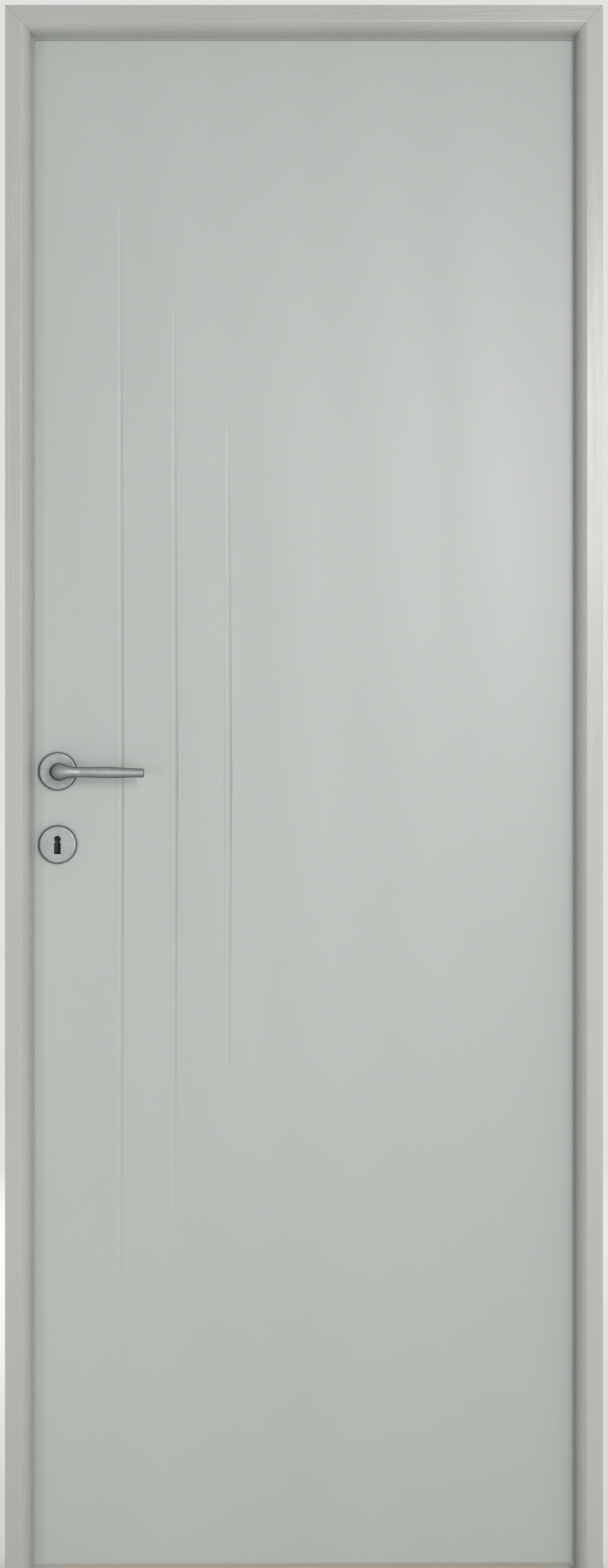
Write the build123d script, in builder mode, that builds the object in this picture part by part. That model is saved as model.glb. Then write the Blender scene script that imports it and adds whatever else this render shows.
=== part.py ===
from build123d import *
import math
import os

os.makedirs("parts", exist_ok=True)

# Interior door in its frame, closed, in millimetres. +Z is up and -Y is the side that is
# pushed, where the leaf sits back behind the frame's rounded reveal. The origin is the middle
# of the hinge jamb's outer face, which is fastened to the wall.

# Leaf
leaf_width = 738
leaf_height = 2040
leaf_thickness = 40
skin_thickness = 6
stile_width = 36
rail_height = 70
leaf_arris = 1

# Gaps round the leaf
hinge_gap = 5
lock_gap = 7
top_gap = 5
floor_gap = 10
stop_gap = 5

# Frame, in section
face_width = 31.5
frame_depth = 84
moulding_width = 10.5
moulding_radius = 20
ridge_radius = 3
rebate_depth = 13.5
back_arris = 1.5

# Soft seal along the stop
seal_base_width = 5.6
seal_show = 2.4
seal_clearance = 0.3
seal_wall = 1.1
stem_width = 2.4
stem_depth = 5
stem_inset = 1

# Tapered grooves, deepest in the middle and running out to a point at both ends
groove_count = 3
groove_inset = 122.5
groove_pitch = 72
groove_length_first = 1676
groove_length_step = 334
groove_centre_height = 1044
groove_cutter_radius = 7
groove_depth = 3
groove_run_out = 1.04
groove_overlap = 3

# Lock
backset = 40
handle_height = 1055
key_drop = 90
case_thickness = 15
case_depth = 62
case_above_spindle = 40
case_below_key = 36
case_corner = 4
forend_width = 20
forend_length = 235
forend_thickness = 3
mortise_clearance = 0.4
bolt_thickness = 9
latch_height = 18
deadbolt_height = 24
deadbolt_above_key = 24
bolt_length = 34
bolt_clearance = 0.3
latch_bevel = 5
lock_block_width = 66
lock_block_margin = 60

# Keyhole in the plates, and the narrower one in the lock case
key_round_radius = 4.4
key_slot_width = 8.7
key_slot_top = 4.6
key_slot_bottom = 20
key_slot_corner = 0.8
key_waist_width = 6.2
key_hole_margin = 2
case_key_radius = 3.3
case_key_width = 3.6
case_key_bottom = 15
case_key_depth = 6

# Round plates behind the lever and round the keyhole
rose_radius = 25.7
rose_thickness = 8
rose_edge = 3.2
escutcheon_drop = 7.5

# Lever
neck_radius = 9
neck_clearance = 0.08
neck_seat = 2
lever_reach = 117.5
lever_droop = 1.5
lever_tip_radius = 1.6
grip_axis_out = 43.5
bend_radius = 17
spindle_size = 7
spindle_clearance = 0.4
socket_depth = 20
spindle_hole_radius = 10

# Lever's oval sections as half height and half depth: evenly spaced round the bend, then along
# the grip, each after its distance from the spindle's axis
bend_ovals = ((neck_radius, neck_radius), (11.3, 9.4), (11.4, 9.2), (8.6, 7.9))
grip_ovals = (
    (31, 6.85, 5.6),
    (45, 6.8, 5.6),
    (60, 7.4, 5.9),
    (75, 7.25, 5.9),
    (90, 6.55, 5.6),
    (104, 6, 5.3),
    (lever_reach, 5.75, 5.1),
)

# Striking plate
strike_width = 24
strike_length = 190
strike_thickness = 2
strike_corner = 6
strike_window_margin = 3
strike_pocket_depth = 11

# Hinges
hinge_count = 3
hinge_inset = 210
hinge_length = 110
hinge_plate_width = 27
hinge_plate_thickness = 2.5
hinge_plate_corner = 9
knuckle_radius = 7
knuckle_stand_off = 1
knuckle_cap = 1.8
washer_thickness = 1.5
washer_clearance = 0.05
pin_radius = 4.5
pin_clearance = 0.06
pin_length = 40

# Places that follow from the sizes above
wall_thickness = face_width - rebate_depth
frame_width = leaf_width + hinge_gap + lock_gap + 2 * wall_thickness
frame_height = floor_gap + leaf_height + top_gap + wall_thickness
frame_top = frame_height / 2
floor_z = -frame_height / 2
lock_outer_x = -frame_width
frame_back = frame_depth / 2
leaf_back = frame_back
leaf_front = leaf_back - leaf_thickness
leaf_middle = leaf_back - leaf_thickness / 2
stop_face = leaf_front - stop_gap
moulding_depth = math.sqrt(moulding_radius**2 - (moulding_radius - moulding_width) ** 2)
leaf_hinge_x = -wall_thickness - hinge_gap
leaf_lock_x = leaf_hinge_x - leaf_width
leaf_centre_x = (leaf_hinge_x + leaf_lock_x) / 2
leaf_bottom = floor_z + floor_gap
leaf_top = leaf_bottom + leaf_height
leaf_centre_z = (leaf_bottom + leaf_top) / 2
core_thickness = leaf_thickness - 2 * skin_thickness
handle_x = leaf_lock_x + backset
handle_z = leaf_bottom + handle_height
key_z = handle_z - key_drop
escutcheon_z = key_z - escutcheon_drop
deadbolt_z = key_z + deadbolt_above_key
case_top = handle_z + case_above_spindle
case_bottom = key_z - case_below_key
case_centre_z = (case_top + case_bottom) / 2
strike_face_x = lock_outer_x + wall_thickness
hinge_x = leaf_hinge_x + hinge_gap / 2
hinge_y = leaf_back + knuckle_radius + knuckle_stand_off
hinge_span = leaf_height - 2 * hinge_inset
hinge_step = hinge_span / (hinge_count - 1)

leaf_mid_plane = Plane.XZ.offset(-leaf_middle)
front_face = Plane((handle_x, leaf_front, handle_z), x_dir=(1, 0, 0), z_dir=(0, -1, 0))
key_face = Plane((handle_x, leaf_front, key_z), x_dir=(1, 0, 0), z_dir=(0, -1, 0))
rose_section = Plane((handle_x, leaf_front, handle_z), x_dir=(1, 0, 0), z_dir=(0, 0, 1))
lock_edge = Plane((leaf_lock_x, leaf_middle, case_centre_z), x_dir=(0, 1, 0), z_dir=(1, 0, 0))
strike_face = Plane((strike_face_x, leaf_middle, case_centre_z), x_dir=(0, -1, 0), z_dir=(-1, 0, 0))

# Section of the frame: the first axis runs inwards from the outer face, the second to the back
lock_run = Plane((lock_outer_x, 0, floor_z), x_dir=(1, 0, 0), z_dir=(0, 0, 1))
hinge_run = Plane((0, 0, frame_top), x_dir=(-1, 0, 0), z_dir=(0, 0, -1))
head_run = Plane((lock_outer_x, 0, frame_top), x_dir=(0, 0, -1), z_dir=(1, 0, 0))
lock_mitre = Plane((lock_outer_x, 0, frame_top), x_dir=(0, 1, 0), z_dir=(-1, 0, -1))
hinge_mitre = Plane((0, 0, frame_top), x_dir=(0, 1, 0), z_dir=(1, 0, -1))
seal_inner = face_width - seal_base_width
seal_height = stop_gap - seal_clearance
seal_radius = seal_height / 2
stem_centre = seal_inner + stem_inset + stem_width / 2

with BuildSketch() as frame_profile:
    ridge = (face_width - moulding_width, -frame_back)
    with BuildLine():
        moulding = RadiusArc(ridge, (face_width, moulding_depth - frame_back), -moulding_radius)
        Polyline(
            moulding @ 1,
            (face_width, stop_face),
            (wall_thickness, stop_face),
            (wall_thickness, frame_back - back_arris),
            (wall_thickness - back_arris, frame_back),
            (0, frame_back),
            (0, -frame_back),
            ridge,
        )
    make_face()
    fillet(frame_profile.vertices().sort_by_distance(ridge)[0], radius=ridge_radius)
    with Locations((stem_centre, stop_face - stem_depth / 2)):
        Rectangle(stem_width, stem_depth, mode=Mode.SUBTRACT)

with BuildSketch() as seal_profile:
    bulb_centre = (face_width + seal_show - seal_radius, stop_face + seal_radius)
    with Locations(((seal_inner + bulb_centre[0]) / 2, bulb_centre[1])):
        Rectangle(bulb_centre[0] - seal_inner, seal_height)
    with Locations(bulb_centre):
        Circle(seal_radius)
        Circle(seal_radius - seal_wall, mode=Mode.SUBTRACT)
    with Locations((stem_centre, stop_face - stem_depth / 2)):
        Rectangle(stem_width, stem_depth)


# Outlines that more than one piece shares
def keyhole(round_radius, slot_width, slot_top, slot_bottom, waist_width, corner):
    """A round with a slot hanging below it, about the centre of the round."""
    with BuildSketch() as outline:
        Circle(round_radius)
        with Locations((0, -slot_top / 2)):
            Rectangle(waist_width, slot_top + corner)
        with Locations((0, -(slot_top + slot_bottom) / 2)):
            RectangleRounded(slot_width, slot_bottom - slot_top, corner)
    return outline.sketch


plate_keyhole = keyhole(
    key_round_radius, key_slot_width, key_slot_top, key_slot_bottom, key_waist_width, key_slot_corner
)
case_keyhole = keyhole(
    case_key_radius, case_key_width, key_slot_top, case_key_bottom, case_key_width, key_slot_corner
)


def bolt_windows(margin):
    """The openings for the latch and the deadbolt, about the middle of the lock case."""
    with BuildSketch() as windows:
        with Locations((0, handle_z - case_centre_z)):
            Rectangle(bolt_thickness + 2 * margin, latch_height + 2 * margin)
        with Locations((0, deadbolt_z - case_centre_z)):
            Rectangle(bolt_thickness + 2 * margin, deadbolt_height + 2 * margin)
    return windows.sketch


def plate_profile(inner_radius):
    """Half the section of a turned plate, from an inner radius out to its rounded rim."""
    with BuildSketch() as profile:
        with BuildLine():
            foot = Line((inner_radius, 0), (rose_radius, 0))
            wall = Line(foot @ 1, (rose_radius, rose_edge - rose_thickness))
            turn = RadiusArc(wall @ 1, (rose_radius - rose_edge, -rose_thickness), rose_edge)
            top = Line(turn @ 1, (inner_radius, -rose_thickness))
            Line(top @ 1, foot @ 0)
        make_face()
    return profile.sketch


# What the lock takes out of the leaf: the case, the two drilled ways through and the forend
with BuildPart() as lock_mortise:
    with BuildSketch(lock_edge):
        Rectangle(case_thickness + 2 * mortise_clearance, case_top - case_bottom + 2 * mortise_clearance)
    extrude(amount=forend_thickness + case_depth + mortise_clearance)
    with BuildSketch(lock_edge):
        SlotOverall(forend_length, forend_width, rotation=90)
    extrude(amount=forend_thickness)
    with BuildSketch(front_face):
        Circle(spindle_hole_radius)
    extrude(amount=-leaf_thickness)
    with BuildSketch(key_face):
        offset(plate_keyhole, amount=key_hole_margin)
    extrude(amount=-leaf_thickness)

# What the hinge plates take out of the edge of the leaf and out of the hinge jamb
with BuildSketch() as hinge_plate_outline:
    with Locations((-hinge_plate_width / 2, 0)):
        Rectangle(hinge_plate_width, hinge_length)
    fillet(hinge_plate_outline.vertices().group_by(Axis.X)[0], radius=hinge_plate_corner)

hinge_heights = [leaf_bottom + hinge_inset + hinge_step * i for i in range(hinge_count)]
leaf_hinge_planes = [
    Plane((leaf_hinge_x, leaf_back, z), x_dir=(0, 1, 0), z_dir=(1, 0, 0)) for z in hinge_heights
]
frame_hinge_planes = [
    Plane((-wall_thickness, frame_back, z), x_dir=(0, 1, 0), z_dir=(1, 0, 0)) for z in hinge_heights
]

# Frame: two jambs and a head, mitred at the corners
with BuildPart() as lock_jamb:
    with BuildSketch(lock_run):
        add(frame_profile.sketch)
    extrude(amount=frame_height)
    split(bisect_by=lock_mitre, keep=Keep.TOP)
    with BuildSketch(strike_face):
        RectangleRounded(strike_width, strike_length, strike_corner)
    extrude(amount=strike_thickness, mode=Mode.SUBTRACT)
    with BuildSketch(strike_face):
        add(bolt_windows(strike_window_margin))
    extrude(amount=strike_pocket_depth, mode=Mode.SUBTRACT)

with BuildPart() as hinge_jamb:
    with BuildSketch(hinge_run):
        add(frame_profile.sketch)
    extrude(amount=frame_height)
    split(bisect_by=hinge_mitre, keep=Keep.TOP)
    with BuildSketch(*frame_hinge_planes):
        add(hinge_plate_outline.sketch)
    extrude(amount=hinge_plate_thickness, mode=Mode.SUBTRACT)

with BuildPart() as head:
    with BuildSketch(head_run):
        add(frame_profile.sketch)
    extrude(amount=frame_width)
    split(bisect_by=lock_mitre, keep=Keep.BOTTOM)
    split(bisect_by=hinge_mitre, keep=Keep.BOTTOM)

# Seal: a hollow bulb on a stem pressed into the stop, mitred like the frame
with BuildPart() as lock_seal:
    with BuildSketch(lock_run):
        add(seal_profile.sketch)
    extrude(amount=frame_height)
    split(bisect_by=lock_mitre, keep=Keep.TOP)

with BuildPart() as hinge_seal:
    with BuildSketch(hinge_run):
        add(seal_profile.sketch)
    extrude(amount=frame_height)
    split(bisect_by=hinge_mitre, keep=Keep.TOP)

with BuildPart() as head_seal:
    with BuildSketch(head_run):
        add(seal_profile.sketch)
    extrude(amount=frame_width)
    split(bisect_by=lock_mitre, keep=Keep.BOTTOM)
    split(bisect_by=hinge_mitre, keep=Keep.BOTTOM)

with BuildPart() as strike_plate:
    with BuildSketch(strike_face):
        RectangleRounded(strike_width, strike_length, strike_corner)
        add(bolt_windows(strike_window_margin), mode=Mode.SUBTRACT)
    extrude(amount=strike_thickness)

# Grooves, as a round cutter leaves them when it dips in and climbs out again
groove_middle = Plane.XY.offset(leaf_bottom + groove_centre_height)


def groove(groove_x, half_length):
    """A groove cut along two straight climbs that meet in its middle."""
    deepest = (groove_x, leaf_front + groove_depth - groove_cutter_radius, groove_middle.origin.Z)
    climb = Plane(deepest, x_dir=(1, 0, 0), z_dir=(0, -groove_depth, half_length))
    with BuildPart() as cut:
        with BuildSketch(climb.offset(-groove_overlap)):
            Circle(groove_cutter_radius)
        extrude(amount=groove_overlap + groove_run_out * half_length)
        split(bisect_by=groove_middle, keep=Keep.TOP)
        mirror(about=groove_middle)
    return cut.part


with BuildPart() as front_grooves:
    for i in range(groove_count):
        groove_length = groove_length_first - groove_length_step * i
        add(groove(leaf_lock_x + groove_inset + groove_pitch * i, groove_length / 2))

# Leaf: two skins over a frame of stiles and rails, with a block for the lock and a light core
with BuildPart() as front_skin:
    with Locations((leaf_centre_x, leaf_front + skin_thickness / 2, leaf_centre_z)):
        Box(leaf_width, skin_thickness, leaf_height)
    fillet(front_skin.faces().sort_by(Axis.Y)[0].edges(), radius=leaf_arris)
    add(front_grooves.part, mode=Mode.SUBTRACT)
    add(lock_mortise.part, mode=Mode.SUBTRACT)

with BuildPart() as back_skin:
    with Locations((leaf_centre_x, leaf_back - skin_thickness / 2, leaf_centre_z)):
        Box(leaf_width, skin_thickness, leaf_height)
    fillet(back_skin.faces().sort_by(Axis.Y)[-1].edges(), radius=leaf_arris)
    mirror(front_grooves.part, about=leaf_mid_plane, mode=Mode.SUBTRACT)
    add(lock_mortise.part, mode=Mode.SUBTRACT)
    with BuildSketch(*leaf_hinge_planes):
        add(hinge_plate_outline.sketch)
    extrude(amount=-hinge_plate_thickness, mode=Mode.SUBTRACT)

with BuildPart() as lock_stile:
    with Locations((leaf_lock_x + stile_width / 2, leaf_middle, leaf_centre_z)):
        Box(stile_width, core_thickness, leaf_height)
    add(lock_mortise.part, mode=Mode.SUBTRACT)

with BuildPart() as hinge_stile:
    with Locations((leaf_hinge_x - stile_width / 2, leaf_middle, leaf_centre_z)):
        Box(stile_width, core_thickness, leaf_height)
    with BuildSketch(*leaf_hinge_planes):
        add(hinge_plate_outline.sketch)
    extrude(amount=-hinge_plate_thickness, mode=Mode.SUBTRACT)

with BuildPart() as top_rail:
    with Locations((leaf_centre_x, leaf_middle, leaf_top - rail_height / 2)):
        Box(leaf_width - 2 * stile_width, core_thickness, rail_height)

with BuildPart() as bottom_rail:
    with Locations((leaf_centre_x, leaf_middle, leaf_bottom + rail_height / 2)):
        Box(leaf_width - 2 * stile_width, core_thickness, rail_height)

with BuildPart() as lock_block_space:
    with Locations((leaf_lock_x + stile_width + lock_block_width / 2, leaf_middle, case_centre_z)):
        Box(lock_block_width, core_thickness, case_top - case_bottom + 2 * lock_block_margin)

with BuildPart() as lock_block:
    add(lock_block_space.part)
    add(lock_mortise.part, mode=Mode.SUBTRACT)

with BuildPart() as leaf_core:
    with Locations((leaf_centre_x, leaf_middle, leaf_centre_z)):
        Box(leaf_width - 2 * stile_width, core_thickness, leaf_height - 2 * rail_height)
    add(lock_block_space.part, mode=Mode.SUBTRACT)

# Lock: a flat case with a narrow keyhole, its forend, and the two bolts drawn in flush with it
with BuildPart() as lock_case:
    with BuildSketch(lock_edge.offset(forend_thickness)):
        Rectangle(case_thickness, case_top - case_bottom)
    extrude(amount=case_depth)
    fillet(lock_case.edges().filter_by(Axis.Y).group_by(Axis.X)[-1], radius=case_corner)
    with BuildSketch(front_face):
        Circle(math.hypot(spindle_size, spindle_size) / 2 + spindle_clearance)
    extrude(amount=-leaf_thickness, mode=Mode.SUBTRACT)
    with BuildSketch(Plane.XZ.offset(case_thickness / 2 - leaf_middle)):
        with Locations((handle_x, key_z)):
            add(case_keyhole)
    extrude(amount=-case_key_depth, mode=Mode.SUBTRACT)
    with BuildSketch(Plane.XZ.offset(-case_thickness / 2 - leaf_middle)):
        with Locations((handle_x, key_z)):
            add(case_keyhole)
    extrude(amount=case_key_depth, mode=Mode.SUBTRACT)
    with BuildSketch(lock_edge.offset(forend_thickness)):
        add(bolt_windows(bolt_clearance))
    extrude(amount=bolt_length - forend_thickness + bolt_clearance, mode=Mode.SUBTRACT)

with BuildPart() as lock_forend:
    with BuildSketch(lock_edge):
        SlotOverall(forend_length, forend_width, rotation=90)
        add(bolt_windows(bolt_clearance), mode=Mode.SUBTRACT)
    extrude(amount=forend_thickness)

with BuildPart() as latch_bolt:
    with BuildSketch(lock_edge):
        with Locations((0, handle_z - case_centre_z)):
            Rectangle(bolt_thickness, latch_height)
    extrude(amount=bolt_length)
    chamfer(
        latch_bolt.edges().filter_by(Axis.Z).group_by(Axis.X)[0].sort_by(Axis.Y)[-1:],
        length=latch_bevel,
    )

with BuildPart() as deadbolt:
    with BuildSketch(lock_edge):
        with Locations((0, deadbolt_z - case_centre_z)):
            Rectangle(bolt_thickness, deadbolt_height)
    extrude(amount=bolt_length)

# Round plates behind the lever and round the keyhole
with BuildPart() as front_rose:
    with BuildSketch(rose_section):
        add(plate_profile(neck_radius + neck_clearance))
    revolve(axis=Axis((handle_x, leaf_front, handle_z), (0, 1, 0)))

with BuildPart() as front_escutcheon:
    with BuildSketch(rose_section.offset(escutcheon_z - handle_z)):
        add(plate_profile(0))
    revolve(axis=Axis((handle_x, leaf_front, escutcheon_z), (0, 1, 0)))
    with BuildSketch(key_face):
        add(plate_keyhole)
    extrude(amount=rose_thickness, mode=Mode.SUBTRACT)


# Lever: a round neck that turns a corner through a full elbow into an oval grip
def lever_oval(along, out, turn, half_height, half_depth):
    """An oval across the lever where its line has turned so many degrees towards the grip."""
    angle = math.radians(turn)
    droop = lever_droop * along / lever_reach
    section_plane = Plane(
        (handle_x + along, leaf_front - out, handle_z - droop),
        x_dir=(0, 0, 1),
        z_dir=(math.sin(angle), -math.cos(angle), 0),
    )
    with BuildSketch(section_plane) as oval:
        Ellipse(half_height, half_depth)
    return oval.sketch


neck_length = grip_axis_out - bend_radius
lever_sections = []
for i, (half_height, half_depth) in enumerate(bend_ovals):
    turn = 90 * i / (len(bend_ovals) - 1)
    along = bend_radius * (1 - math.cos(math.radians(turn)))
    out = neck_length + bend_radius * math.sin(math.radians(turn))
    lever_sections.append(lever_oval(along, out, turn, half_height, half_depth))
for along, half_height, half_depth in grip_ovals:
    lever_sections.append(lever_oval(along, grip_axis_out, 90, half_height, half_depth))

with BuildPart() as front_lever:
    loft(sections=lever_sections)
    fillet(front_lever.faces().sort_by(Axis.X)[-1].edges(), radius=lever_tip_radius)
    with BuildSketch(front_face.offset(-neck_seat)):
        Circle(neck_radius)
    extrude(amount=neck_length + neck_seat)
    with BuildSketch(front_face.offset(-neck_seat)):
        Rectangle(spindle_size, spindle_size)
    extrude(amount=socket_depth, mode=Mode.SUBTRACT)

with BuildPart() as spindle:
    with BuildSketch(leaf_mid_plane):
        with Locations((handle_x, handle_z)):
            Rectangle(spindle_size, spindle_size)
    extrude(amount=leaf_thickness / 2 - neck_seat + socket_depth, both=True)

# The other side of the leaf has the same lever, rose and keyhole plate
with BuildPart() as back_lever:
    mirror(front_lever.part, about=leaf_mid_plane)

with BuildPart() as back_rose:
    mirror(front_rose.part, about=leaf_mid_plane)

with BuildPart() as back_escutcheon:
    mirror(front_escutcheon.part, about=leaf_mid_plane)

# Hinges: a plate let into each edge, the frame's half below with the pin, the leaf's above
half_knuckle = (hinge_length - washer_thickness) / 2 - washer_clearance
hinge_joint = half_knuckle - hinge_length / 2


def hinge_half(height, way, plate_plane):
    """A knuckle from the hinge's upper end (way 1) or lower end (way -1) to its middle, with its plate."""
    with BuildPart() as half:
        with BuildSketch(Plane.XY.offset(height + way * hinge_length / 2)):
            with Locations((hinge_x, hinge_y)):
                Circle(knuckle_radius)
        extrude(amount=-way * half_knuckle)
        chamfer(half.faces().sort_by(Axis.Z, reverse=way < 0)[-1].edges(), length=knuckle_cap)
        with BuildSketch(plate_plane):
            add(hinge_plate_outline.sketch)
            with Locations(((hinge_y - leaf_back) / 2, way * (hinge_length - half_knuckle) / 2)):
                Rectangle(hinge_y - leaf_back, half_knuckle - 2 * knuckle_cap)
        extrude(amount=-way * hinge_plate_thickness)
    return half.part


frame_hinges = []
leaf_hinges = []
for height, frame_plane, leaf_plane in zip(hinge_heights, frame_hinge_planes, leaf_hinge_planes):
    with BuildPart() as frame_hinge:
        add(hinge_half(height, -1, frame_plane))
        with BuildSketch(Plane.XY.offset(height + hinge_joint)):
            with Locations((hinge_x, hinge_y)):
                Circle(pin_radius)
        extrude(amount=pin_length)
    frame_hinges.append(frame_hinge)

    with BuildPart() as leaf_hinge:
        add(hinge_half(height, 1, leaf_plane))
        with BuildSketch(Plane.XY.offset(height - hinge_joint)):
            with Locations((hinge_x, hinge_y)):
                Circle(pin_radius + pin_clearance)
        extrude(amount=pin_length, mode=Mode.SUBTRACT)
    leaf_hinges.append(leaf_hinge)

with BuildPart() as hinge_washers:
    for height in hinge_heights:
        with BuildSketch(Plane.XY.offset(height + hinge_joint)):
            with Locations((hinge_x, hinge_y)):
                Circle(knuckle_radius)
                Circle(pin_radius + pin_clearance, mode=Mode.SUBTRACT)
        extrude(amount=washer_thickness)

pieces = {
    "lock_jamb": lock_jamb,
    "hinge_jamb": hinge_jamb,
    "head": head,
    "lock_seal": lock_seal,
    "hinge_seal": hinge_seal,
    "head_seal": head_seal,
    "strike_plate": strike_plate,
    "front_skin": front_skin,
    "back_skin": back_skin,
    "lock_stile": lock_stile,
    "hinge_stile": hinge_stile,
    "top_rail": top_rail,
    "bottom_rail": bottom_rail,
    "lock_block": lock_block,
    "leaf_core": leaf_core,
    "lock_case": lock_case,
    "lock_forend": lock_forend,
    "latch_bolt": latch_bolt,
    "deadbolt": deadbolt,
    "front_rose": front_rose,
    "back_rose": back_rose,
    "front_escutcheon": front_escutcheon,
    "back_escutcheon": back_escutcheon,
    "front_lever": front_lever,
    "back_lever": back_lever,
    "spindle": spindle,
    "hinge_washers": hinge_washers,
}
for number, (frame_hinge, leaf_hinge) in enumerate(zip(frame_hinges, leaf_hinges), start=1):
    pieces[f"frame_hinge_{number}"] = frame_hinge
    pieces[f"leaf_hinge_{number}"] = leaf_hinge

for name, piece in pieces.items():
    piece.part.label = name
    export_step(piece.part, f"parts/{name}.step")
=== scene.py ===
import math

import bmesh
import bpy
from mathutils import Matrix, Vector


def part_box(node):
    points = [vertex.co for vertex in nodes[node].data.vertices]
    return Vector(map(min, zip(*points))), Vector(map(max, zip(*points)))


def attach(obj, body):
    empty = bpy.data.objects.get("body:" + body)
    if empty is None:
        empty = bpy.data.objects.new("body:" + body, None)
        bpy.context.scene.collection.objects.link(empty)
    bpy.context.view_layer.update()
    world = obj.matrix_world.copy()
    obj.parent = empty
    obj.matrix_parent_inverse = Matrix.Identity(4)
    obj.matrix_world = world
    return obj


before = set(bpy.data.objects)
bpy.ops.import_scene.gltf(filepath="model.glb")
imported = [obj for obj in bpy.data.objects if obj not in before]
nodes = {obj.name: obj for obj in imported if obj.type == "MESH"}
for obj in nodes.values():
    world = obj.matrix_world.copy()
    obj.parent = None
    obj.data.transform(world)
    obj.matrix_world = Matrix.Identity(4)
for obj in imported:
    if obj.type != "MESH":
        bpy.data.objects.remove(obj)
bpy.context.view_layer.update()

# Places read from the frame, in metres: +Z is up and -Y is the side that is pushed
X, Y, Z = 0, 1, 2
jamb_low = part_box("hinge_jamb")[0]
head_low, head_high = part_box("head")
skin_low, skin_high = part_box("front_skin")
rose_low, rose_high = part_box("front_rose")
plate_low, plate_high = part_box("front_escutcheon")
washer_low, washer_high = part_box("hinge_washers")
floor_z = jamb_low.z
frame_front = jamb_low.y
frame_left = head_low.x
frame_right = head_high.x
frame_top = head_high.z
face_bottom = head_low.z
leaf_front = skin_low.y
leaf_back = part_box("back_skin")[1].y
leaf_middle = (leaf_front + leaf_back) / 2
leaf_edge = skin_high.x
rebate_edge = washer_low.x + washer_high.x - leaf_edge
door_centre_x = (frame_left + frame_right) / 2
handle = Vector(((rose_low.x + rose_high.x) / 2, leaf_front, (rose_low.z + rose_high.z) / 2))
keyhole = Vector(((plate_low.x + plate_high.x) / 2, leaf_front, (plate_low.z + plate_high.z) / 2))

# The photograph's frame and viewpoint, in pixels, metres and, for the sensor, millimetres
PHOTO_HEIGHT = 2576
FOCAL_PIXELS = 3750
EYE_ROW = 1201.5
EYE_HEIGHT = 1.1183
EYE_DISTANCE = 3.0
SENSOR = 36.0
FARTHEST_SEEN = 60

# Screws: sizes and places in metres
SCREW_RADIUS = 0.0042
GRUB_RADIUS = 0.0021
HEAD_SIDES = 36
HINGE_NUMBERS = (1, 2, 3)
HINGE_SCREWS = 4
HINGE_SCREW_STEP = 0.027
HINGE_SCREW_ROWS = (0.0105, 0.0195)
END_SCREW_INSET = 0.0095
STRIKE_SCREW_INSET = 0.0085
GRUB_FROM_ROSE = 0.0065
GRUB_SUNK = 0.0001
NECK_RADIUS = 0.009

# Screw heads, as shares of their radius: the slope from rim to crown as reach and rise
HEAD_CROWN = 0.13
HEAD_SLOPE = ((1.0, 0.0), (0.97, 0.45), (0.88, 0.75), (0.76, 0.92), (0.64, 1.0))
CROSS_ARM = 0.52
CROSS_HALF_WIDTH = 0.14
HEXAGON_REACH = 0.5
RECESS_TAPER = 0.7
RECESS_FLOOR = 0.15

# Every screw stops at its own angle, in radians
TURN_BY_SCREW = 0.9
TURN_BY_HINGE = 0.4
TURN_BY_HEIGHT = 2.1
GRUB_TURN = 0.3

# Hairline joints of the frame's corners, in metres. They appear between two heights that are
# counted from the head's lower edge.
MITRE_HALF = 0.00025
MITRE_DEPTH = 0.0002
MITRE_APPEARS = (-0.002, -0.001)

# The leaf's faint upright ripple, in metres, and how far each wave leans
RIPPLE_PITCH = 0.13
RIPPLE_HEIGHT = 0.00035
RIPPLE_LEAN = 0.06
RIPPLE_START = -0.237
RIPPLE_WANDER = 0.012

# Noise for the surfaces: scales for the three axes, or across and along a grain, with the depth of
# their relief in metres. The span is where most of a noise's values lie.
NOISE_SPAN = (0.3, 0.7)
GRAIN_FINE = (420.0, 14.0)
GRAIN_BROAD = (90.0, 3.0)
PORE_SPAN = (0.16, 0.36)
PORE_TINT = 0.10
PORE_DEPTH = 0.00022
FRAME_CLOUD = (3.0, 3.0, 1.4)
STIPPLE = (700.0, 700.0, 700.0)
STIPPLE_DEPTH = 0.00002
LEAF_CLOUD = (2.2, 2.2, 0.9)
LEAF_WANDER = (5.0, 1.0, 1.6)
LEAF_DRIFT = (15.0, 1.0, 1.3)
LEAF_DRIFT_DEPTH = 0.0006
LEAF_PEEL = (520.0, 520.0, 420.0)
LEAF_PEEL_DEPTH = 0.00002
LEAF_WEAR = (9.0, 9.0, 2.0)
BRUSHING = (2600.0, 60.0)
BRUSHING_DEPTH = 0.00003
METAL_SMEAR = (140.0, 140.0, 140.0)
SMEAR_SPAN = (0.35, 0.7)
METAL_DULL_SPAN = (0.15, 0.4)
WOOD_GRAIN = (300.0, 8.0)
WOOD_GRAIN_DEPTH = 0.0002
RUBBER_SPECK = (900.0, 900.0, 900.0)
RUBBER_SPECK_DEPTH = 0.00003
FLOOR_CLOUD = (1.5, 1.5, 1.5)

# Roughness from the glossiest to the dullest places, and other shine
FRAME_ROUGH = (0.32, 0.40)
FRAME_COAT = 0.2
FRAME_COAT_ROUGH = 0.18
LEAF_ROUGH = (0.32, 0.37)
LEAF_SPECULAR = 0.27
STEEL_ROUGH = (0.30, 0.40)
ALLOY_ROUGH = (0.48, 0.58)
LEVER_ROUGH = (0.50, 0.58)
ZINC_ROUGH = (0.45, 0.6)
WOOD_ROUGH = (0.55, 0.75)
RUBBER_ROUGH = (0.55, 0.7)
FLOOR_ROUGH = (0.6, 0.7)

# How far metal has turned from the eye where its painted rim shade starts and where it is full: a
# dark reflection painted where it curves away
ALLOY_RIM_SHADE_TURN = (0.25, 0.65)
LEVER_RIM_SHADE_TURN = (0.36, 0.8)


def srgb(red, green, blue):
    """A colour given as it shows on screen, 0 to 255, as linear light."""
    def linear(value):
        v = value / 255
        return v / 12.92 if v <= 0.04045 else ((v + 0.055) / 1.055) ** 2.4
    return (linear(red), linear(green), linear(blue), 1.0)


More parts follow.
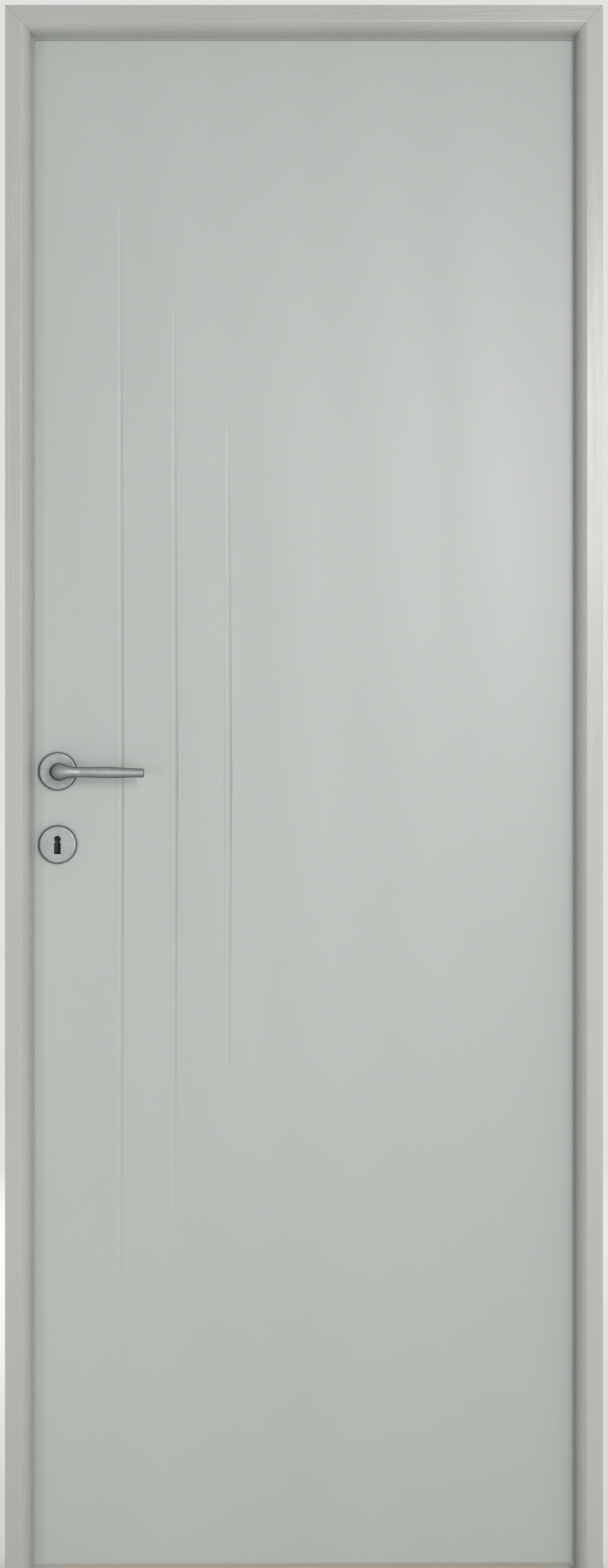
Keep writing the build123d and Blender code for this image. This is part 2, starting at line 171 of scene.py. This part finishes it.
# Colours: most are a main tone and a second one that is mixed into it
UPRIGHT_PAINT = (srgb(181, 183, 180), srgb(172, 174, 170))
# The head's paint is the uprights' paint a few levels darker: painted shade for the head, which gets
# less light
LEVEL_PAINT_SHADED = (srgb(178, 180, 177), srgb(169, 171, 167))
JOINT_SHADE = srgb(128, 129, 125)
LEAF_PAINT = (srgb(187, 190, 187), srgb(182, 185, 182))
EDGE_PAINT = (srgb(200, 202, 196), srgb(188, 190, 182))
RAIL_WOOD = (srgb(205, 186, 148), srgb(184, 160, 120))
BLOCK_WOOD = (srgb(196, 170, 126), srgb(170, 140, 98))
SEAL_RUBBER = (srgb(162, 164, 161), srgb(150, 153, 150))
PLATE_ALLOY = (srgb(149, 153, 153), srgb(142, 146, 146))
# Painted shade: a dark rim tone painted where the plates turn away from the eye, standing for the
# dark room they reflect
PLATE_RIM_SHADE = srgb(70, 71, 72)
LEVER_ALLOY = (srgb(152, 157, 155), srgb(144, 149, 147))
# Painted shade: a dark rim tone painted where the lever turns away from the eye, standing for the
# dark room it reflects
LEVER_RIM_SHADE = srgb(40, 42, 42)
LOCK_STEEL = (srgb(188, 187, 182), srgb(179, 178, 174))
HINGE_STEEL = (srgb(189, 189, 186), srgb(180, 180, 177))
SPINDLE_STEEL = (srgb(160, 160, 158), srgb(132, 132, 130))
CASE_ZINC = (srgb(84, 86, 86), srgb(60, 62, 62))
WASHER_BRASS = (srgb(205, 176, 110), srgb(176, 146, 84))
FLOOR_TONES = (srgb(236, 235, 232), srgb(229, 228, 225))
BACKGROUND = srgb(226, 226, 224)
ROOM_COLOUR = srgb(253, 255, 254)


class Paper:
    """A material's nodes, with short ways to add and join them."""

    def __init__(self, name):
        self.material = bpy.data.materials.new(name)
        self.material.use_nodes = True
        self.tree = self.material.node_tree
        self.shader = self.tree.nodes["Principled BSDF"]
        self.place = self.add("ShaderNodeTexCoord").outputs["Object"]

    def add(self, kind, **values):
        """A node, with its settings or the plain values of its sockets."""
        node = self.tree.nodes.new(kind)
        for key, value in values.items():
            if hasattr(node, key):
                setattr(node, key, value)
            else:
                node.inputs[key].default_value = value
        return node

    def join(self, start, end):
        self.tree.links.new(start, end)

    def feed(self, value, end):
        """Joins a socket to another, or sets a plain value on it."""
        if hasattr(value, "links"):
            self.join(value, end)
        else:
            end.default_value = value

    def noise(self, scale, detail=3.0, roughness=0.5, distortion=0.0):
        """Noise over the place in metres, with a scale for each axis."""
        mapping = self.add("ShaderNodeMapping")
        mapping.inputs["Scale"].default_value = scale
        self.join(self.place, mapping.inputs["Vector"])
        node = self.add("ShaderNodeTexNoise", Scale=1.0, Detail=detail, Roughness=roughness)
        node.inputs["Distortion"].default_value = distortion
        self.join(mapping.outputs["Vector"], node.inputs["Vector"])
        return node.outputs["Fac"]

    def levels(self, value, low, high, out_low=0.0, out_high=1.0):
        """A value brought from one span to another, and held within it."""
        node = self.add("ShaderNodeMapRange")
        spans = (("From Min", low), ("From Max", high), ("To Min", out_low), ("To Max", out_high))
        for key, number in spans:
            node.inputs[key].default_value = number
        self.join(value, node.inputs["Value"])
        return node.outputs["Result"]

    def mix(self, share, first, second):
        """A colour between two, given as colours or sockets."""
        node = self.add("ShaderNodeMix", data_type="RGBA")
        self.join(share, node.inputs["Factor"])
        self.feed(first, node.inputs[6])
        self.feed(second, node.inputs[7])
        return node.outputs[2]

    def combine(self, first, second, operation="ADD"):
        """One operation on two numbers, given as numbers or sockets."""
        node = self.add("ShaderNodeMath", operation=operation)
        self.feed(first, node.inputs[0])
        self.feed(second, node.inputs[1])
        return node.outputs[0]

    def vector(self, operation, first, second=None):
        """One operation on a vector socket. A dot product and a length come out as a number."""
        node = self.add("ShaderNodeVectorMath", operation=operation)
        self.join(first, node.inputs[0])
        if second is not None:
            node.inputs[1].default_value = second
        return node.outputs["Value" if operation in ("DOT_PRODUCT", "LENGTH") else "Vector"]

    def bump(self, height, depth, strength=1.0, under=None):
        """Fine relief of a depth in metres, over another one if that is given."""
        node = self.add("ShaderNodeBump", Distance=depth, Strength=strength)
        self.join(height, node.inputs["Height"])
        if under is not None:
            self.join(under, node.inputs["Normal"])
        return node.outputs["Normal"]

    def finish(self, colour, roughness, normal=None, metallic=0.0):
        """The material, once its colour, roughness and relief are joined to the shader."""
        self.shader.inputs["Metallic"].default_value = metallic
        for key, value in (("Base Color", colour), ("Roughness", roughness), ("Normal", normal)):
            if value is not None:
                self.join(value, self.shader.inputs[key])
        return self.material


def grained(across, along, axis):
    """A noise scale for each axis: one across the grain and another along it."""
    scale = [across, across, across]
    scale[axis] = along
    return scale


def mitre(paper):
    """One along the hairline joints at the two top corners, and nothing elsewhere."""
    near = None
    for slant, reach in (((1, 0, 1), frame_left + frame_top), ((-1, 0, 1), frame_top - frame_right)):
        across = paper.vector("DOT_PRODUCT", paper.place, slant)
        away = paper.combine(paper.combine(across, -reach), 0.0, "ABSOLUTE")
        near = away if near is None else paper.combine(near, away, "MINIMUM")
    height = paper.add("ShaderNodeSeparateXYZ")
    paper.join(paper.place, height.inputs[0])
    at_top = paper.levels(height.outputs["Z"], *(face_bottom + rise for rise in MITRE_APPEARS))
    line = paper.levels(near, 0.0, MITRE_HALF * math.sqrt(2), 1.0, 0.0)
    return paper.combine(line, at_top, "MULTIPLY")


def grain_paint(name, axis, tones, jointed=False):
    """White satin paint over open woodgrain that runs along one axis."""
    paper = Paper(name)
    fine = paper.noise(grained(*GRAIN_FINE, axis), detail=4.0, roughness=0.6)
    wide = paper.noise(grained(*GRAIN_BROAD, axis), distortion=0.8)
    pores = paper.levels(paper.combine(fine, wide, "MULTIPLY"), *PORE_SPAN)
    cloud = paper.noise(FRAME_CLOUD, detail=2.0)
    tint = paper.mix(paper.levels(cloud, *NOISE_SPAN), *tones)
    tint = paper.mix(paper.levels(pores, 0.0, 1.0, PORE_TINT, 0.0), tint, tones[1])
    dry = paper.levels(wide, *NOISE_SPAN, *FRAME_ROUGH)
    paper.shader.inputs["Coat Weight"].default_value = FRAME_COAT
    paper.shader.inputs["Coat Roughness"].default_value = FRAME_COAT_ROUGH
    normal = paper.bump(pores, PORE_DEPTH, 0.75)
    normal = paper.bump(paper.noise(STIPPLE, detail=2.0), STIPPLE_DEPTH, 0.5, normal)
    if jointed:
        joint = mitre(paper)
        tint = paper.mix(joint, tint, JOINT_SHADE)
        normal = paper.bump(joint, -MITRE_DEPTH, 0.6, normal)
    return paper.finish(tint, dry, normal)


def leaf_paint():
    """Satin lacquer with a faint upright ripple, which breaks reflections into soft streaks."""
    paper = Paper("leaf_lacquer")
    cloud = paper.noise(LEAF_CLOUD, detail=2.0)
    tint = paper.mix(paper.levels(cloud, *NOISE_SPAN), *LEAF_PAINT)
    across = paper.vector("DOT_PRODUCT", paper.place, (1.0, 0.0, RIPPLE_LEAN))
    wander = paper.noise(LEAF_WANDER, detail=2.0)
    across = paper.combine(across, paper.levels(wander, 0.0, 1.0, -RIPPLE_WANDER, RIPPLE_WANDER))
    turns = paper.combine(
        paper.combine(across, -RIPPLE_START), 2 * math.pi / RIPPLE_PITCH, "MULTIPLY"
    )
    wave = paper.combine(turns, 0.0, "SINE")
    drift = paper.noise(LEAF_DRIFT, detail=2.0)
    peel = paper.noise(LEAF_PEEL, detail=2.0)
    rough = paper.levels(paper.noise(LEAF_WEAR), *NOISE_SPAN, *LEAF_ROUGH)
    paper.shader.inputs["Specular IOR Level"].default_value = LEAF_SPECULAR
    normal = paper.bump(wave, -RIPPLE_HEIGHT)
    normal = paper.bump(drift, LEAF_DRIFT_DEPTH, 1.0, normal)
    normal = paper.bump(peel, LEAF_PEEL_DEPTH, 0.6, normal)
    return paper.finish(tint, rough, normal)


def metal(name, tones, axis=Z, centre=None, rough=STEEL_ROUGH, rim_shade=None, rim_shade_turn=ALLOY_RIM_SHADE_TURN):
    """Satin metal, turned round a centre or brushed along an axis, with a painted shade that darkens
    it where it curves away from the eye.
    """
    paper = Paper(name)
    if centre is None:
        lines = paper.noise(grained(*BRUSHING, axis))
    else:
        spun = paper.vector("SUBTRACT", paper.place, centre)
        flat = paper.vector("MULTIPLY", spun, (1.0, 0.0, 1.0))
        ring = paper.add("ShaderNodeTexNoise", noise_dimensions="1D", Scale=BRUSHING[0], Detail=2.0)
        paper.join(paper.vector("LENGTH", flat), ring.inputs["W"])
        lines = ring.outputs["Fac"]
    smear = paper.noise(METAL_SMEAR, detail=4.0)
    tint = paper.mix(paper.levels(smear, *SMEAR_SPAN), *tones)
    # Painted shade: a dark reflection painted where the surface turns away from the eye
    if rim_shade is not None:
        turning = paper.add("ShaderNodeLayerWeight", Blend=0.5)
        tint = paper.mix(paper.levels(turning.outputs["Facing"], *rim_shade_turn), tint, rim_shade)
    dull = paper.levels(paper.combine(lines, smear, "MULTIPLY"), *METAL_DULL_SPAN, *rough)
    return paper.finish(tint, dull, paper.bump(lines, BRUSHING_DEPTH, 0.6), metallic=1.0)


def board(name, tones, axis):
    """Planed softwood or board, with its grain along one axis."""
    paper = Paper(name)
    grain = paper.noise(grained(*WOOD_GRAIN, axis), detail=4.0, distortion=0.5)
    tint = paper.mix(paper.levels(grain, *NOISE_SPAN), *tones)
    dry = paper.levels(grain, *NOISE_SPAN, *WOOD_ROUGH)
    return paper.finish(tint, dry, paper.bump(grain, WOOD_GRAIN_DEPTH, 0.6))


def rubber():
    """Soft matt rubber with a fine speck."""
    paper = Paper("seal_rubber")
    speck = paper.noise(RUBBER_SPECK)
    tint = paper.mix(paper.levels(speck, *NOISE_SPAN), *SEAL_RUBBER)
    dry = paper.levels(speck, *NOISE_SPAN, *RUBBER_ROUGH)
    return paper.finish(tint, dry, paper.bump(speck, RUBBER_SPECK_DEPTH, 0.5))


def dress(material, *names):
    """Gives a material to pieces of the door."""
    for name in names:
        for part_slot in nodes[name].material_slots:
            part_slot.link = "OBJECT"
            part_slot.material = material


upright_paint = grain_paint("frame_paint_upright", Z, UPRIGHT_PAINT, jointed=True)
# The head gets the uprights' paint a few levels darker, as painted shade, with its grain across
level_paint_shaded = grain_paint("frame_paint_level_shaded", X, LEVEL_PAINT_SHADED, jointed=True)
dress(upright_paint, "lock_jamb", "hinge_jamb")
dress(level_paint_shaded, "head")
dress(leaf_paint(), "front_skin", "back_skin")
dress(grain_paint("edge_paint", Z, EDGE_PAINT), "lock_stile", "hinge_stile")
dress(board("rail_wood", RAIL_WOOD, X), "top_rail", "bottom_rail")
dress(board("block_wood", BLOCK_WOOD, Z), "lock_block", "leaf_core")
dress(rubber(), "lock_seal", "hinge_seal", "head_seal")

# Roses, plates and levers get a painted dark rim shade where they curve away from the eye
for name, centre, plates in (
    ("rose_metal", handle, ("front_rose", "back_rose")),
    ("plate_metal", keyhole, ("front_escutcheon", "back_escutcheon")),
):
    dress(metal(name, PLATE_ALLOY, centre=centre, rough=ALLOY_ROUGH, rim_shade=PLATE_RIM_SHADE), *plates)
lever_metal = metal(
    "lever_metal", LEVER_ALLOY, axis=X, rough=LEVER_ROUGH, rim_shade=LEVER_RIM_SHADE, rim_shade_turn=LEVER_RIM_SHADE_TURN
)
lock_steel = metal("lock_steel", LOCK_STEEL)
hinge_steel = metal("hinge_steel", HINGE_STEEL)
dress(lever_metal, "front_lever", "back_lever")
dress(lock_steel, "lock_forend", "strike_plate", "latch_bolt", "deadbolt")
dress(metal("spindle_steel", SPINDLE_STEEL, axis=Y), "spindle")
dress(metal("case_zinc", CASE_ZINC, rough=ZINC_ROUGH), "lock_case")
dress(hinge_steel, *(f"{side}_hinge_{n}" for side in ("frame", "leaf") for n in HINGE_NUMBERS))
dress(metal("washer_brass", WASHER_BRASS), "hinge_washers")


# Screws: raised heads with a recess for the driver, one piece for each plate
def cross_outline(radius):
    """The corners of a cross recess."""
    arm, half = CROSS_ARM * radius, CROSS_HALF_WIDTH * radius
    corner = ((half, half), (half, arm), (-half, arm))
    turned = []
    for quarter in range(4):
        angle = quarter * math.pi / 2
        across, along = math.cos(angle), math.sin(angle)
        for x, y in corner:
            turned.append((x * across - y * along, x * along + y * across))
    return turned


def hexagon_outline(radius):
    """The corners of a six-sided socket."""
    reach = HEXAGON_REACH * radius
    angles = [math.pi * i / 3 for i in range(6)]
    return [(reach * math.cos(angle), reach * math.sin(angle)) for angle in angles]


def add_head(shape, centre, facing, radius, recess, turn):
    """One screw head: a crowned disc on a face, with its recess sunk nearly to the face."""
    stand = Matrix.Translation(centre) @ Vector(facing).to_track_quat("Z", "Y").to_matrix().to_4x4()
    stand = stand @ Matrix.Rotation(turn, 4, "Z")

    def ring(points, height):
        return [shape.verts.new(stand @ Vector((x, y, height))) for x, y in points]

    def circle(reach):
        step = 2 * math.pi / HEAD_SIDES
        return [(reach * math.cos(step * i), reach * math.sin(step * i)) for i in range(HEAD_SIDES)]

    def bridge(first, second, smooth):
        for i in range(len(first)):
            j = (i + 1) % len(first)
            shape.faces.new((first[i], first[j], second[j], second[i])).smooth = smooth

    def edges_round(loop):
        pairs = zip(loop, loop[1:] + loop[:1])
        return [shape.edges.get(pair) or shape.edges.new(pair) for pair in pairs]

    crown = radius * HEAD_CROWN
    rings = [ring(circle(radius * reach), crown * rise) for reach, rise in HEAD_SLOPE]
    for outer, inner in zip(rings, rings[1:]):
        bridge(outer, inner, True)
    mouth = ring(recess, crown)
    bottom = ring([(RECESS_TAPER * x, RECESS_TAPER * y) for x, y in recess], crown * RECESS_FLOOR)
    rims = edges_round(rings[-1]) + edges_round(mouth)
    bmesh.ops.triangle_fill(shape, use_beauty=True, edges=rims)
    bridge(mouth, bottom, False)
    shape.faces.new(bottom)


def screws(name, material, body, heads):
    """One piece of several screw heads, each given as place, facing, radius, recess and turn."""
    shape = bmesh.new()
    for head in heads:
        add_head(shape, *head)
    bmesh.ops.recalc_face_normals(shape, faces=shape.faces)
    mesh = bpy.data.meshes.new(name)
    shape.to_mesh(mesh)
    shape.free()
    mesh.materials.append(material)
    piece = bpy.data.objects.new(name, mesh)
    bpy.context.scene.collection.objects.link(piece)
    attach(piece, body)


cross = cross_outline(SCREW_RADIUS)
for number in HINGE_NUMBERS:
    for side, edge, way in (("leaf", leaf_edge, 1), ("frame", rebate_edge, -1)):
        hinge_low, hinge_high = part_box(f"{side}_hinge_{number}")
        middle = (hinge_low.z + hinge_high.z) / 2
        heads = []
        for i in range(HINGE_SCREWS):
            height = middle + HINGE_SCREW_STEP * (i - (HINGE_SCREWS - 1) / 2)
            place = (edge, leaf_back - HINGE_SCREW_ROWS[i % 2], height)
            turn = TURN_BY_SCREW * i + TURN_BY_HINGE * number + way
            heads.append((place, (way, 0, 0), SCREW_RADIUS, cross, turn))
        screws(f"{side}_hinge_{number}_screws", hinge_steel, side, heads)

for node, body, inset, way in (
    ("lock_forend", "leaf", END_SCREW_INSET, -1),
    ("strike_plate", "frame", STRIKE_SCREW_INSET, 1),
):
    plate_corner, plate_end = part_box(node)
    edge = plate_corner.x if way < 0 else plate_end.x
    heads = [
        ((edge, leaf_middle, z), (way, 0, 0), SCREW_RADIUS, cross, TURN_BY_HEIGHT * z)
        for z in (plate_corner.z + inset, plate_end.z - inset)
    ]
    screws(f"{node}_screws", lock_steel, body, heads)

# Grub screws: one from below into the neck of each lever
neck_bottom = handle.z - NECK_RADIUS
grub_y = rose_low.y - GRUB_FROM_ROSE
hexagon = hexagon_outline(GRUB_RADIUS)
for side, out in (("front", grub_y), ("back", 2 * leaf_middle - grub_y)):
    socket = (handle.x, out, neck_bottom + GRUB_SUNK)
    head = (socket, (0, 0, -1), GRUB_RADIUS, hexagon, GRUB_TURN)
    screws(f"{side}_lever_grub", lock_steel, "lever", [head])

# Floor, in metres: away from the door it fades into the background
FLOOR_SIZE = 14.0
FLOOR_FADE = (1.6, 2.9)


def shown_rays(tree):
    """One for what shows, straight or in metal or glass, and nothing for light on the object."""
    path = tree.nodes.new("ShaderNodeLightPath")
    shown = path.outputs["Is Camera Ray"]
    for kind in ("Is Glossy Ray", "Is Transmission Ray"):
        either = tree.nodes.new("ShaderNodeMath")
        either.operation = "MAXIMUM"
        tree.links.new(shown, either.inputs[0])
        tree.links.new(path.outputs[kind], either.inputs[1])
        shown = either.outputs[0]
    return shown


bpy.ops.mesh.primitive_plane_add(size=FLOOR_SIZE, location=(door_centre_x, 0, floor_z))
floor = bpy.context.object
floor.name = "floor"
floor_paper = Paper("floor_pale")
floor_tone = floor_paper.noise(FLOOR_CLOUD)
floor.data.materials.append(
    floor_paper.finish(
        floor_paper.mix(floor_tone, *FLOOR_TONES),
        floor_paper.levels(floor_tone, *NOISE_SPAN, *FLOOR_ROUGH),
    )
)
from_door = floor_paper.vector("LENGTH", floor_paper.place)
faded = floor_paper.combine(
    floor_paper.levels(from_door, *FLOOR_FADE), shown_rays(floor_paper.tree), "MULTIPLY"
)
distance = floor_paper.add("ShaderNodeEmission", Color=BACKGROUND, Strength=1.0)
blend = floor_paper.add("ShaderNodeMixShader")
floor_paper.join(faded, blend.inputs["Fac"])
floor_paper.join(floor_paper.shader.outputs["BSDF"], blend.inputs[1])
floor_paper.join(distance.outputs["Emission"], blend.inputs[2])
floor_paper.join(blend.outputs["Shader"], floor_paper.tree.nodes["Material Output"].inputs["Surface"])

# Room light: brighter from the door's sides than from before and behind it, most from the right
ROOM_SIDE = 0.62
ROOM_FRONT = 0.21
ROOM_TILT = 0.26
world = bpy.data.worlds.new("studio")
bpy.context.scene.world = world
world.use_nodes = True
sky = world.node_tree
ambient = sky.nodes["Background"]
ambient.inputs["Color"].default_value = ROOM_COLOUR
heading = sky.nodes.new("ShaderNodeTexCoord")
split = sky.nodes.new("ShaderNodeSeparateXYZ")
facing = sky.nodes.new("ShaderNodeMath")
facing.operation = "ABSOLUTE"
level = sky.nodes.new("ShaderNodeMapRange")
level.inputs["To Min"].default_value = ROOM_SIDE
level.inputs["To Max"].default_value = ROOM_FRONT
sky.links.new(heading.outputs["Generated"], split.inputs[0])
sky.links.new(split.outputs["Y"], facing.inputs[0])
sky.links.new(facing.outputs[0], level.inputs["Value"])
lean = sky.nodes.new("ShaderNodeMath")
lean.operation = "MULTIPLY_ADD"
lean.inputs[1].default_value = ROOM_TILT
sky.links.new(split.outputs["X"], lean.inputs[0])
sky.links.new(level.outputs["Result"], lean.inputs[2])
sky.links.new(lean.outputs[0], ambient.inputs["Strength"])

# The background, for the rays that show it
seen = sky.nodes.new("ShaderNodeBackground")
seen.inputs["Color"].default_value = BACKGROUND
seen.inputs["Strength"].default_value = 1.0
choose = sky.nodes.new("ShaderNodeMixShader")
sky.links.new(shown_rays(sky), choose.inputs["Fac"])
sky.links.new(ambient.outputs["Background"], choose.inputs[1])
sky.links.new(seen.outputs["Background"], choose.inputs[2])
sky.links.new(choose.outputs["Shader"], sky.nodes["World Output"].inputs["Surface"])


door_middle = Vector((door_centre_x, leaf_front, 0.0))


def lamp(name, place, size, power, colour):
    """A soft rectangular lamp that faces the middle of the door."""
    data = bpy.data.lights.new(name, "AREA")
    data.shape = "RECTANGLE"
    data.size, data.size_y = size
    data.energy = power
    data.color = colour
    thing = bpy.data.objects.new(name, data)
    bpy.context.scene.collection.objects.link(thing)
    thing.location = place
    thing.rotation_euler = (door_middle - Vector(place)).to_track_quat("-Z", "Y").to_euler()


# Lamps before and behind the door: place and size in metres, power in watts, colour
WHITE = (1, 1, 1)
WARM_WHITE = (1.0, 1.0, 0.985)
COOL_WHITE = (0.95, 1.0, 1.0)
for name, place, size, power, colour in (
    ("window", (0.42, -3.2, 0.9), (0.6, 0.9), 27, WARM_WHITE),
    ("front_soft", (0.35, -3.4, 0.45), (1.4, 1.4), 20, WHITE),
    ("fill", (-2.2, -3.1, -0.2), (0.6, 0.6), 12, COOL_WHITE),
    ("low_fill", (0.4, -3.3, -0.62), (2.4, 0.7), 13, WHITE),
    ("back_window", (-1.2, 3.2, 0.9), (0.6, 0.9), 27, WHITE),
    ("back_soft", (-1.15, 3.4, 0.45), (1.4, 1.4), 20, WHITE),
    ("back_fill", (1.4, 3.1, -0.2), (0.6, 0.6), 12, WHITE),
    ("back_low_fill", (-1.2, 3.3, -0.62), (2.4, 0.7), 13, WHITE),
):
    lamp(name, place, size, power, colour)

# Camera: level, and facing the door squarely
camera_data = bpy.data.cameras.new("camera")
camera = bpy.data.objects.new("camera", camera_data)
bpy.context.scene.collection.objects.link(camera)
bpy.context.scene.camera = camera
camera_data.sensor_width = SENSOR
camera_data.lens = FOCAL_PIXELS * SENSOR / PHOTO_HEIGHT
camera_data.shift_y = (EYE_ROW - PHOTO_HEIGHT / 2) / PHOTO_HEIGHT
camera_data.clip_end = FARTHEST_SEEN
camera.location = (door_centre_x, frame_front - EYE_DISTANCE, floor_z + EYE_HEIGHT)
camera.rotation_euler = (math.radians(90), 0, 0)

bpy.context.scene.view_settings.view_transform = "Standard"
